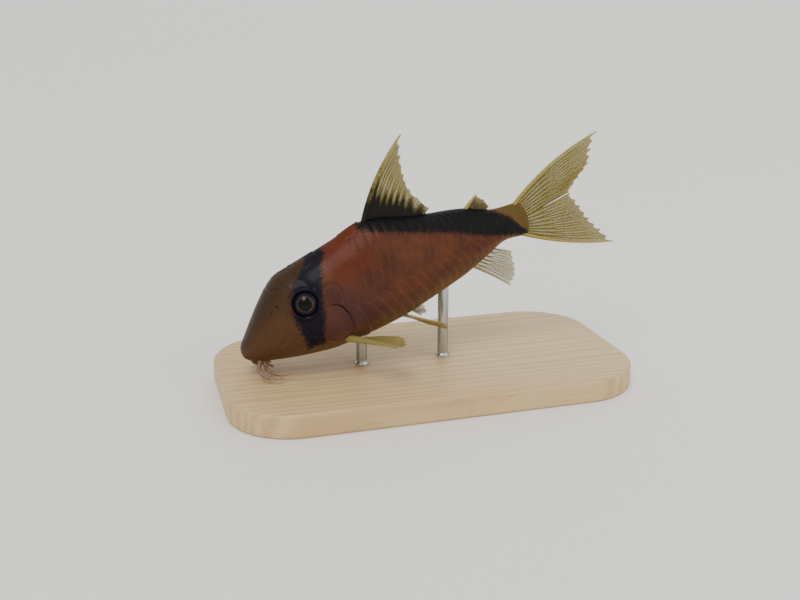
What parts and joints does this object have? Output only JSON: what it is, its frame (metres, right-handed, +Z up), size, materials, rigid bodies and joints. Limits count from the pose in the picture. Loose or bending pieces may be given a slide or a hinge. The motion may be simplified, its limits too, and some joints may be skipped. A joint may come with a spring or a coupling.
{
  "type": "corydoras catfish on a display stand",
  "caption": "Life-size still model of a masked corydoras catfish, nose down, held by two short rods on a flat base.",
  "frame": {"origin": "centre of the stand base's underside", "axes": "+X towards the tail fin, -Y to the fish's left side, +Z up"},
  "size_m": [0.0645, 0.034, 0.039],
  "materials": {
    "skin": "smooth wet skin, copper red with a black eye band and back stripe",
    "barbel_skin": "soft pale pinkish brown skin",
    "fin": "thin clear membrane with cream rays",
    "eye": "clear wet cornea over a dark iris",
    "stand_wood": "pale satin wood",
    "stand_steel": "brushed"
  },
  "bodies": {
    "root": {"adipose_fin": "fin", "anal_fin": "fin", "barbel_chin_left": "barbel_skin", "barbel_chin_right": "barbel_skin", "barbel_lower_left": "barbel_skin", "barbel_lower_right": "barbel_skin", "barbel_upper_left": "barbel_skin", "barbel_upper_right": "barbel_skin", "caudal_fin_lower": "fin", "caudal_fin_upper": "fin", "dorsal_fin": "fin", "eye_left": "eye", "eye_right": "eye", "gill_cover_left": "skin", "gill_cover_right": "skin", "head": "skin", "pectoral_fin_left": "fin", "pectoral_fin_right": "fin", "pelvic_fin_left": "fin", "pelvic_fin_right": "fin", "stand_base": "stand_wood", "stand_rod_front": "stand_steel", "stand_rod_rear": "stand_steel", "tail": "skin", "trunk": "skin"}
  },
  "joints": []
}
